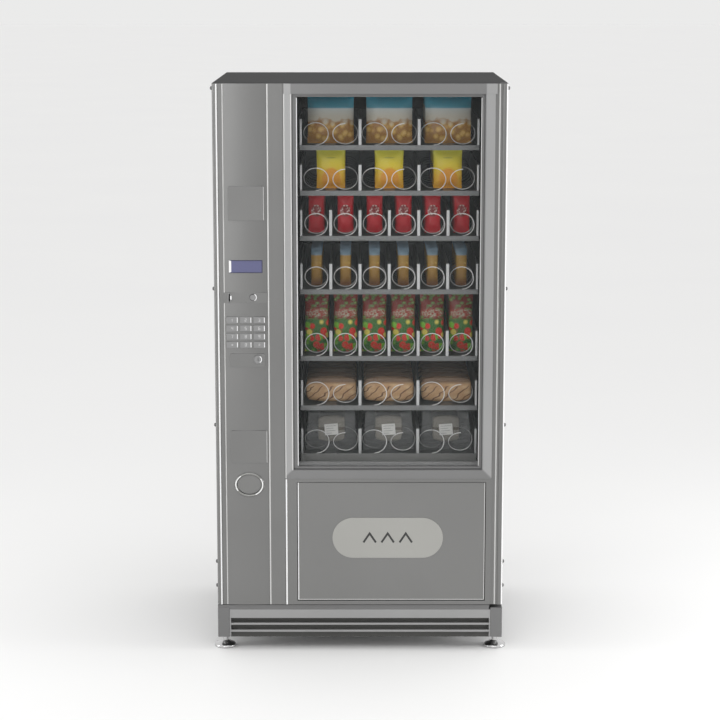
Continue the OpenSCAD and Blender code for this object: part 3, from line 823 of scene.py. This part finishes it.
# ---- plate marks and key figures ----
def add_stroke(bm, points, width, y, depth=0.35 * MM):
    """A flat raised stroke with square joins along 2D points (x, z)."""
    half = width / 2
    lines = []
    count = len(points)
    for i, (x, z) in enumerate(points):
        before = points[max(i - 1, 0)]
        after = points[min(i + 1, count - 1)]
        d = Vector((after[0] - before[0], after[1] - before[1])).normalized()
        stretch = 1.0
        if 0 < i < count - 1:
            e = Vector((after[0] - x, after[1] - z)).normalized()
            stretch = 1 / max(0.5, d.dot(e))
        n = Vector((-d.y, d.x)) * half * stretch
        lines.append(((x + n.x, z + n.y), (x - n.x, z - n.y)))
    left = [[bm.verts.new((p[0], yy, p[1])) for yy in (y - depth, y + depth)] for p, q in lines]
    right = [[bm.verts.new((q[0], yy, q[1])) for yy in (y - depth, y + depth)] for p, q in lines]
    for i in range(count - 1):
        bm.faces.new((left[i][0], left[i + 1][0], right[i + 1][0], right[i][0]))
        bm.faces.new((left[i][1], left[i + 1][1], right[i + 1][1], right[i][1]))
        bm.faces.new((left[i][0], left[i + 1][0], left[i + 1][1], left[i][1]))
        bm.faces.new((right[i][0], right[i + 1][0], right[i + 1][1], right[i][1]))
    for i in (0, count - 1):
        bm.faces.new((left[i][0], left[i][1], right[i][1], right[i][0]))


def plate_marks():
    """Three plain chevrons on the flap's plate."""
    low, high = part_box("push_plate")
    mid_x, mid_z = (low.x + high.x) / 2, (low.z + high.z) / 2
    w, h, pitch, stroke = 40 * MM, 30 * MM, 58 * MM, 6.4 * MM

    def build(bm):
        for x in (mid_x - pitch, mid_x, mid_x + pitch):
            line = [(x - w / 2, mid_z - h / 2), (x, mid_z + h / 2), (x + w / 2, mid_z - h / 2)]
            add_stroke(bm, line, stroke, low.y)
    make_piece("plate_chevrons", build, "delivery_flap", "coin_black", MATS["ink"])


SEGMENTS = {  # strokes of a figure in a box 1 wide and 2 high
    "0": [[(0, 0), (1, 0), (1, 2), (0, 2), (0, 0)]],
    "1": [[(0.2, 1.6), (0.6, 2), (0.6, 0)]],
    "2": [[(0, 2), (1, 2), (1, 1), (0, 1), (0, 0), (1, 0)]],
    "3": [[(0, 2), (1, 2), (1, 0), (0, 0)], [(0.2, 1), (1, 1)]],
    "4": [[(0, 2), (0, 1), (1, 1)], [(1, 2), (1, 0)]],
    "5": [[(1, 2), (0, 2), (0, 1), (1, 1), (1, 0), (0, 0)]],
    "6": [[(1, 2), (0, 2), (0, 0), (1, 0), (1, 1), (0, 1)]],
    "7": [[(0, 2), (1, 2), (0.5, 0)]],
    "8": [[(0, 0), (1, 0), (1, 2), (0, 2), (0, 0)], [(0, 1), (1, 1)]],
    "9": [[(0, 0), (1, 0), (1, 2), (0, 2), (0, 1), (1, 1)]],
    "star": [[(0.5, 0.3), (0.5, 1.7)], [(-0.1, 0.65), (1.1, 1.35)], [(-0.1, 1.35), (1.1, 0.65)]],
    "hash": [[(0.25, 0.2), (0.25, 1.8)], [(0.75, 0.2), (0.75, 1.8)], [(-0.15, 0.7), (1.15, 0.7)],
             [(-0.15, 1.3), (1.15, 1.3)]],
}


def key_figures():
    names = ["1", "2", "3", "4", "5", "6", "7", "8", "9", "star", "0", "hash"]
    size = 4.4 * MM
    for i, figure in enumerate(names):
        low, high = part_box(f"key_{i + 1}")
        x0 = (low.x + high.x) / 2 - size / 2
        z0 = (low.z + high.z) / 2 - size

        def build(bm):
            for line in SEGMENTS[figure]:
                add_stroke(bm, [(x0 + px * size, z0 + pz * size) for px, pz in line], 1.3 * MM, low.y,
                           0.15 * MM)
        make_piece(f"key_figure_{i + 1}", build, f"key_{i + 1}", "key_grey", MATS["pale_ink"])


plate_marks()
key_figures()


# ---- stock: film packs and boxes ----
def add_pouch(bm, uv, centre, size, seal, puff=0.6, seed=0):
    """A filled film pack, closed at its rim, with flat crimped seals at the top and bottom."""
    width, depth, height = size
    across, up = 14, 22
    rng = random.Random(seed)
    shift = Vector((rng.uniform(-50, 50), rng.uniform(-50, 50), rng.uniform(-50, 50)))
    lean = rng.uniform(-1.0, 1.0) * 0.006

    def point(i, j, side):
        u, v = i / across, j / up
        z = height * v
        inner = min(1.0, max(0.0, (min(z, height - z) - seal) / (0.22 * height)))
        swell = math.sin(math.pi / 2 * inner) ** 0.8
        edge = math.sin(math.pi * u) ** puff if 0 < u < 1 else 0.0
        pull = 1 - 0.02 * swell * (1 - edge)
        x = (u - 0.5) * width * pull
        y = side * (0.35 * MM + depth / 2 * swell * edge)
        ripple = noise.noise(Vector((x * 60, z * 60, side * 9)) + shift)
        y += side * 1.6 * MM * ripple * swell * edge ** 0.5
        if inner == 0:
            y += side * 0.25 * MM * math.cos(z / (1.1 * MM) * math.pi)
        x += 0.8 * MM * noise.noise(Vector((u * 3, v * 14, 3.3)) + shift) * (1 if inner else 0.3)
        return Vector((centre[0] + x, centre[1] + y + lean * (v - 0.5), centre[2] + z))

    grids = []
    for side in (-1, 1):
        grids.append([[bm.verts.new(point(i, j, side)) for j in range(up + 1)] for i in range(across + 1)])

    def face(corners, places):
        made = bm.faces.new(corners)
        for loop, (i, j) in zip(made.loops, places):
            loop[uv].uv = (i / across, j / up)
        made.smooth = True
    for side, grid in zip((-1, 1), grids):
        for i in range(across):
            for j in range(up):
                places = [(i, j), (i + 1, j), (i + 1, j + 1), (i, j + 1)]
                if side > 0:
                    places.reverse()
                face([grid[a][b] for a, b in places], places)
    rim = [(i, 0) for i in range(across)] + [(across, j) for j in range(up)]
    rim += [(i, up) for i in range(across, 0, -1)] + [(0, j) for j in range(up, 0, -1)]
    for a, b in zip(rim, rim[1:] + rim[:1]):
        face([grids[0][a[0]][a[1]], grids[1][a[0]][a[1]], grids[1][b[0]][b[1]], grids[0][b[0]][b[1]]],
             [a, a, b, b])


def uv_split(tree):
    coords = tree.nodes.new("ShaderNodeUVMap")
    coords.uv_map = "face"
    split = tree.nodes.new("ShaderNodeSeparateXYZ")
    tree.links.new(coords.outputs["UV"], split.inputs["Vector"])
    return coords.outputs["UV"], split.outputs["X"], split.outputs["Y"]


def mix(tree, fac, first, second):
    node = tree.nodes.new("ShaderNodeMix")
    node.data_type = "RGBA"
    for socket, value in ((node.inputs["Factor"], fac), (node.inputs[6], first), (node.inputs[7], second)):
        if isinstance(value, tuple):
            socket.default_value = (*value, 1)
        elif isinstance(value, (int, float)):
            socket.default_value = value
        else:
            tree.links.new(value, socket)
    return node.outputs[2]


def disc(tree, x, y, at, radii, soft=0.04):
    """1 inside an ellipse of the pack's face, 0 outside."""
    dx = math_node(tree, "DIVIDE", math_node(tree, "SUBTRACT", x, at[0]), radii[0])
    dy = math_node(tree, "DIVIDE", math_node(tree, "SUBTRACT", y, at[1]), radii[1])
    far = math_node(tree, "ADD", math_node(tree, "MULTIPLY", dx, dx), math_node(tree, "MULTIPLY", dy, dy))
    return math_node(tree, "DIVIDE", math_node(tree, "SUBTRACT", 1.0, far), soft, True)


def band(tree, value, low, high, soft=0.01):
    rise = math_node(tree, "DIVIDE", math_node(tree, "SUBTRACT", value, low), soft, True)
    fall = math_node(tree, "DIVIDE", math_node(tree, "SUBTRACT", high, value), soft, True)
    return math_node(tree, "MULTIPLY", rise, fall)


def blobs(tree, uv, scale, stretch=(1, 1, 1), feature="F1"):
    mapping = tree.nodes.new("ShaderNodeMapping")
    mapping.inputs["Scale"].default_value = stretch
    tree.links.new(uv, mapping.inputs["Vector"])
    tex = tree.nodes.new("ShaderNodeTexVoronoi")
    tex.inputs["Scale"].default_value = scale
    tex.feature = feature
    tree.links.new(mapping.outputs["Vector"], tex.inputs["Vector"])
    return tex.outputs["Distance"], tex.outputs["Color"]


def film(name, paint, rough=0.3):
    """Printed film: paint(tree, uv, x, y) gives its colour."""
    mat, tree, bsdf = new_material(name)
    set_surface(bsdf, rough, 0.0, 0.12, 0.3)
    uv, x, y = uv_split(tree)
    tree.links.new(paint(tree, uv, x, y), bsdf.inputs["Base Color"])
    crease = add_noise(tree, 110, 4.0)
    add_bump(tree, bsdf, crease, 0.35, 0.0008)
    return mat


def paint_crisps(tree, uv, x, y):
    near, _ = blobs(tree, uv, 8.0, (1.0, 1.0, 1))
    crisp = ramp(tree, near, [(0.0, (0.86, 0.62, 0.22)), (0.30, (0.74, 0.46, 0.11)),
                              (0.60, (0.42, 0.20, 0.04))])
    sky = ramp(tree, y, [(0.0, (0.62, 0.58, 0.46)), (0.55, (0.62, 0.58, 0.48)), (0.70, (0.60, 0.64, 0.62)),
                         (0.73, (0.06, 0.30, 0.40)), (1.0, (0.03, 0.24, 0.34))])
    heap = math_node(tree, "ADD", 0.40, math_node(tree, "MULTIPLY", near, 0.18))
    return mix(tree, band(tree, y, -0.2, heap, 0.10), sky, crisp)


def paint_yellow(tree, uv, x, y):
    base = ramp(tree, y, [(0.0, (0.84, 0.40, 0.02)), (0.35, (0.86, 0.52, 0.03)), (0.6, (0.84, 0.66, 0.04)),
                          (1.0, (0.72, 0.70, 0.06))])
    near, _ = blobs(tree, uv, 5.0, (1.0, 1.3, 1))
    slice_ = band(tree, near, 0.0, 0.22, 0.08)
    low = band(tree, y, 0.08, 0.50, 0.05)
    base = mix(tree, math_node(tree, "MULTIPLY", slice_, low), base, (0.88, 0.50, 0.03))
    base = mix(tree, disc(tree, x, y, (0.52, 0.22), (0.36, 0.34), 0.3), base, (0.84, 0.36, 0.02))
    return mix(tree, disc(tree, x, y, (0.5, 0.80), (0.20, 0.022), 0.5), base, (0.50, 0.46, 0.05))


def paint_red(tree, uv, x, y):
    grain, _ = blobs(tree, uv, 8.0)
    base = mix(tree, math_node(tree, "MULTIPLY", grain, 0.5), (0.72, 0.012, 0.025), (0.50, 0.006, 0.014))
    petals, _ = blobs(tree, uv, 7.0, (1.0, 2.4, 1))
    rosette = ramp(tree, petals,
                   [(0.0, (0.86, 0.74, 0.68)), (0.35, (0.70, 0.42, 0.38)), (0.5, (0.30, 0.03, 0.03))])
    base = mix(tree, disc(tree, x, y, (0.5, 0.55), (0.33, 0.155), 0.08), base, rosette)
    return mix(tree, band(tree, y, 0.93, 1.2), base, (0.66, 0.50, 0.48))


def paint_bar(tree, uv, x, y):
    base = ramp(tree, y, [(0.0, (0.20, 0.08, 0.03)), (0.25, (0.42, 0.22, 0.04)), (0.55, (0.50, 0.29, 0.06)),
                          (0.79, (0.46, 0.27, 0.06)), (0.82, (0.22, 0.33, 0.40)), (1.0, (0.12, 0.19, 0.26))])
    near, _ = blobs(tree, uv, 6.0, (0.6, 2.2, 1))
    nuts = math_node(tree, "MULTIPLY", band(tree, near, 0.0, 0.25, 0.08), band(tree, y, 0.20, 0.66, 0.03))
    return mix(tree, nuts, base, (0.80, 0.60, 0.16))


def paint_fruit(tree, uv, x, y):
    near, tint = blobs(tree, uv, 4.4, (0.9, 2.1, 1))
    split = tree.nodes.new("ShaderNodeSeparateColor")
    tree.links.new(tint, split.inputs["Color"])
    fruit = ramp(tree, split.outputs["Red"], [(0.0, (0.74, 0.04, 0.02)), (0.36, (0.20, 0.50, 0.04)),
                                              (0.58, (0.80, 0.68, 0.12)), (0.76, (0.74, 0.05, 0.02))], True)
    fruit = mix(tree, band(tree, near, 0.0, 0.66, 0.18), (0.05, 0.17, 0.03), fruit)
    spots, _ = blobs(tree, uv, 6.0, (0.8, 2.8, 1))
    head = ramp(tree, spots, [(0.0, (0.36, 0.40, 0.10)), (0.30, (0.10, 0.20, 0.05)),
                              (0.55, (0.22, 0.03, 0.02))])
    base = mix(tree, band(tree, y, -0.1, 0.58, 0.03), head, fruit)
    specks, _ = blobs(tree, uv, 16.0, (0.8, 3.2, 1))
    label = ramp(tree, specks,
                 [(0.0, (0.62, 0.62, 0.50)), (0.4, (0.34, 0.32, 0.22)), (0.6, (0.34, 0.06, 0.04))])
    return mix(tree, disc(tree, x, y, (0.5, 0.67), (0.55, 0.085), 0.5), base, label)


def paint_pastry(tree, uv, x, y):
    slope = math_node(tree, "ADD", math_node(tree, "MULTIPLY", x, 5.0), math_node(tree, "MULTIPLY", y, -2.6))
    wobble, _ = blobs(tree, uv, 5.0)
    bend = math_node(tree, "MULTIPLY", wobble, 0.45)
    stripe = math_node(tree, "SINE", math_node(tree, "MULTIPLY", math_node(tree, "ADD", slope, bend), 6.283))
    crust = ramp(tree, wobble, [(0.0, (0.74, 0.52, 0.30)), (0.6, (0.56, 0.34, 0.17))])
    crust = mix(tree, band(tree, y, 0.70, 2.0, 0.12), crust, (0.20, 0.125, 0.075))
    thin = math_node(tree, "MULTIPLY", band(tree, stripe, 0.80, 2.0, 0.15), band(tree, y, 0.0, 0.66, 0.05))
    return mix(tree, thin, crust, (0.16, 0.07, 0.03))


def paint_bread(tree, uv, x, y):
    crumb, _ = blobs(tree, uv, 14.0)
    base = ramp(tree, crumb, [(0.0, (0.26, 0.235, 0.20)), (0.6, (0.36, 0.33, 0.28))])
    return mix(tree, band(tree, y, 0.44, 0.56), base, (0.13, 0.11, 0.07))


FILMS = {
    1: film("crisp_film", paint_crisps), 2: film("yellow_film", paint_yellow),
    3: film("red_film", paint_red),
    4: film("bar_film", paint_bar), 5: film("fruit_film", paint_fruit),
    6: film("pastry_glaze", paint_pastry, 0.45),
    7: film("sandwich_crumb", paint_bread, 0.6),
}
POUCHES = {  # row: width, depth, height, seal, how many stand behind each other
    1: (149 * MM, 30 * MM, 157 * MM, 7 * MM, 4),
    2: (92 * MM, 21 * MM, 124 * MM, 6 * MM, 5),
    3: (52 * MM, 17 * MM, 130 * MM, 6 * MM, 6),
    4: (36 * MM, 15 * MM, 124 * MM, 6 * MM, 6),
    5: (78 * MM, 26 * MM, 193 * MM, 7 * MM, 6),
}


def row_pitch(row):
    return WIDE_PITCH if row in PAIRED_ROWS else SLIM_PITCH


def stock_pouches(row):
    width, depth, height, seal, deep = POUCHES[row]
    pitch = row_pitch(row)
    phase = 0.75 if row in PAIRED_ROWS else 1.25
    for lane in range(row_lanes(row)):
        def build(bm):
            uv = bm.loops.layers.uv.new("face")
            for j in range(deep):
                place = (lane_x(row, lane), coil_start(row) + (j + phase) * pitch, lip_top(row) + 1 * MM)
                add_pouch(bm, uv, place, (width, depth, height), seal, 0.55, row * 100 + lane * 10 + j)
        name = f"packs_row_{row}_lane_{lane + 1}"
        body = f"stock_{lane + 1}" if row == MOVING_ROW else f"tray_{row}"
        obj = make_piece(name, build, body, "pack_film", FILMS[row], 0, 50)
        if row == MOVING_ROW:
            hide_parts(f"stock_{lane + 1}")


def add_cushion(bm, uv, centre, size, power=4.0):
    """A rounded loaf-like block."""
    width, depth, height = size
    around, up = 40, 12
    rings = []
    for j in range(up + 1):
        v = -1 + 2 * j / up
        shrink = max(0.0, 1 - abs(v) ** power) ** (1 / power)
        ring = []
        for i in range(around):
            t = 2 * math.pi * i / around
            c, s = math.cos(t), math.sin(t)
            k = (abs(c) ** power + abs(s) ** power) ** (-1 / power)
            scale = 0.55 + 0.45 * shrink if 0 < j < up else 0.5
            ring.append(bm.verts.new((centre[0] + width / 2 * c * k * scale,
                                      centre[1] + depth / 2 * s * k * scale,
                                      centre[2] + height * (v + 1) / 2)))
        rings.append(ring)
    for j in range(up):
        for i in range(around):
            t = (i + 1) % around
            made = bm.faces.new((rings[j][i], rings[j][t], rings[j + 1][t], rings[j + 1][i]))
            for loop in made.loops:
                co = loop.vert.co
                loop[uv].uv = ((co.x - centre[0]) / width + 0.5, (co.z - centre[2]) / height)
    for ring in (rings[0], rings[-1]):
        made = bm.faces.new(ring)
        for loop in made.loops:
            co = loop.vert.co
            loop[uv].uv = ((co.x - centre[0]) / width + 0.5, (co.y - centre[1]) / depth * 0.4 + 0.8)


def pastries():
    row = 6
    for lane in range(3):
        def build(bm):
            uv = bm.loops.layers.uv.new("face")
            for j in range(5):
                place = (lane_x(row, lane), coil_start(row) + (j + 0.75) * WIDE_PITCH, lip_top(row) + 1 * MM)
                add_cushion(bm, uv, place, (164 * MM, 30 * MM, 82 * MM), 4.0)
        name = f"pastries_lane_{lane + 1}"
        make_piece(name, build, f"tray_{row}", "pack_film", FILMS[row], 0, 60)


def clear_box_material():
    mat, tree, bsdf = new_material("clear_box")
    set_surface(bsdf, 0.08, 0.0, 0.0, 0.7)
    haze = add_noise(tree, 30, 3.0)
    tree.links.new(ramp(tree, haze, [(0.3, (0.34, 0.35, 0.35)), (0.7, (0.48, 0.49, 0.49))]),
                   bsdf.inputs["Base Color"])
    bsdf.inputs["Alpha"].default_value = 0.20
    return mat


def add_frustum(bm, centre, base, top, height):
    """A box that narrows towards its top, standing on centre."""
    levels = [(base, 0), (top, height)]
    rings = [[bm.verts.new((centre[0] + sx * w / 2, centre[1] + sy * d / 2, centre[2] + z))
              for sx, sy in ((-1, -1), (1, -1), (1, 1), (-1, 1))] for (w, d), z in levels]
    for i in range(4):
        j = (i + 1) % 4
        bm.faces.new((rings[0][i], rings[0][j], rings[1][j], rings[1][i]))
    bm.faces.new(rings[0])
    bm.faces.new(rings[1])


def sandwiches():
    row = 7
    box_mat = clear_box_material()
    label_mat = finish_material("paper_label", (0.80, 0.80, 0.77), 0.6, 0.0, 300, 0.06, 0.05)
    mark_mat = finish_material("label_lines", (0.35, 0.35, 0.35), 0.6, 0.0, 300, 0.06, 0.05)
    for lane in range(3):
        centres = [(lane_x(row, lane), coil_start(row) + (j + 0.75) * WIDE_PITCH, lip_top(row) + 1 * MM)
                   for j in range(4)]

        def boxes(bm):
            for c in centres:
                add_frustum(bm, c, (168 * MM, 34 * MM), (150 * MM, 26 * MM), 122 * MM)
                add_block(bm, (c[0] - 86 * MM, c[1] - 1 * MM, c[2] + 60 * MM),
                          (c[0] + 86 * MM, c[1] + 1 * MM, c[2] + 64 * MM))

        def bread(bm):
            uv = bm.loops.layers.uv.new("face")
            for c in centres:
                add_cushion(bm, uv, (c[0], c[1], c[2] + 26 * MM), (88 * MM, 20 * MM, 86 * MM), 5.0)

        def tilted(bm, c, x, z, y):
            """A sheet on the box front, turned a little about the pack's centre."""
            turn = math.radians(4)
            mid = c[2] + 68 * MM
            faces = [[bm.verts.new((c[0] + px * math.cos(turn) - pz * math.sin(turn), depth,
                                    mid + px * math.sin(turn) + pz * math.cos(turn)))
                      for px, pz in ((x[0], z[0]), (x[1], z[0]), (x[1], z[1]), (x[0], z[1]))] for depth in y]
            bm.faces.new(faces[0])
            bm.faces.new(faces[1])
            for i in range(4):
                j = (i + 1) % 4
                bm.faces.new((faces[0][i], faces[0][j], faces[1][j], faces[1][i]))

        def labels(bm):
            for c in centres:
                y = c[1] - 17.6 * MM
                tilted(bm, c, (-22 * MM, 22 * MM), (-18.5 * MM, 18.5 * MM), (y, y + 3.2 * MM))

        def marks(bm):
            for c in centres:
                y = c[1] - 17.9 * MM
                for k, wide in enumerate((17, 12, 15, 9)):
                    z = (11 - 8 * k) * MM
                    tilted(bm, c, (-17 * MM, -17 * MM + 2 * wide * MM), (z, z + 1.6 * MM), (y, y + 0.6 * MM))
        n = lane + 1
        add_piece(f"clear_boxes_lane_{n}", mesh_from(f"clear_boxes_{n}", boxes), "tray_7", "pack_film",
                  box_mat, 3 * MM)
        add_piece(f"sandwiches_lane_{n}", mesh_from(f"sandwiches_{n}", bread), "tray_7", "pack_film",
                  FILMS[7], 0, 60)
        add_piece(f"box_labels_lane_{n}", mesh_from(f"box_labels_{n}", labels), "tray_7", "pack_film",
                  label_mat, 0.4 * MM)
        add_piece(f"label_lines_lane_{n}", mesh_from(f"label_lines_{n}", marks), "tray_7", "pack_film",
                  mark_mat)


for row in POUCHES:
    stock_pouches(row)
pastries()
sandwiches()


# ---- floor, light and camera ----
def world_light():
    world = bpy.data.worlds.new("studio")
    world.use_nodes = True
    tree = world.node_tree
    back = tree.nodes["Background"]
    coords = tree.nodes.new("ShaderNodeTexCoord")
    split = tree.nodes.new("ShaderNodeSeparateXYZ")
    tree.links.new(coords.outputs["Generated"], split.inputs["Vector"])
    sky = ramp(tree, math_node(tree, "ADD", math_node(tree, "MULTIPLY", split.outputs["Z"], 0.5), 0.5),
               [(0.0, (0.86, 0.86, 0.86)), (0.5, (0.855, 0.855, 0.85)), (0.62, (0.97, 0.97, 0.97)),
                (1.0, (0.97, 0.97, 0.97))])
    tree.links.new(sky, back.inputs["Color"])
    back.inputs["Strength"].default_value = 0.97
    bpy.context.scene.world = world


def area_light(name, place, target, size, power):
    data = bpy.data.lights.new(name, "AREA")
    data.shape = "RECTANGLE"
    data.size, data.size_y = size
    data.energy = power
    obj = bpy.data.objects.new(name, data)
    bpy.context.scene.collection.objects.link(obj)
    obj.location = place
    obj.rotation_euler = (Vector(target) - Vector(place)).to_track_quat("-Z", "Y").to_euler()
    return obj


def studio_floor():
    mat, tree, bsdf = new_material("studio_floor")
    set_surface(bsdf, 0.9, 0.0, 0.0, 0.1)
    grain = add_noise(tree, 0.6, 2.0)
    tree.links.new(ramp(tree, grain, [(0.3, (0.870, 0.868, 0.865)), (0.7, (0.880, 0.878, 0.872))]),
                   bsdf.inputs["Base Color"])
    mesh = mesh_from("studio_floor", lambda bm: bm.faces.new([bm.verts.new(p) for p in (
        (-90, -90, 0), (90, -90, 0), (90, 90, 0), (-90, 90, 0))]))
    mesh.materials.append(mat)
    obj = bpy.data.objects.new("studio_floor", mesh)
    bpy.context.scene.collection.objects.link(obj)


CAMERA_BACK = 6.541        # from the machine's front
CAMERA_HEIGHT = 2.1559
CAMERA_PITCH = 0.180605    # radians below level


def studio_camera():
    data = bpy.data.cameras.new("camera")
    data.lens = 105.07
    data.sensor_width = 36
    data.clip_end = 300
    cam = bpy.data.objects.new("camera", data)
    cam.location = (0, FRONT - CAMERA_BACK, CAMERA_HEIGHT)
    cam.rotation_euler = (math.pi / 2 - CAMERA_PITCH, 0, 0)
    bpy.context.scene.collection.objects.link(cam)
    bpy.context.scene.camera = cam


world_light()
area_light("left_front_panel", (-2.4, -8.6, 1.6), (-0.2, 0, 1.0), (1.6, 3.0), 42)
area_light("right_strip", (3.4, -0.6, 1.1), (0, -0.35, 1.0), (1.6, 2.8), 60)
area_light("left_strip", (-3.4, -0.8, 1.1), (0, -0.35, 1.0), (0.8, 2.8), 30)
area_light("floor_panel", (0, -3.0, 3.4), (0, -1.5, 0), (3.0, 1.2), 22)
studio_floor()
studio_camera()
bpy.context.scene.view_settings.view_transform = "Standard"
bpy.context.view_layer.update()
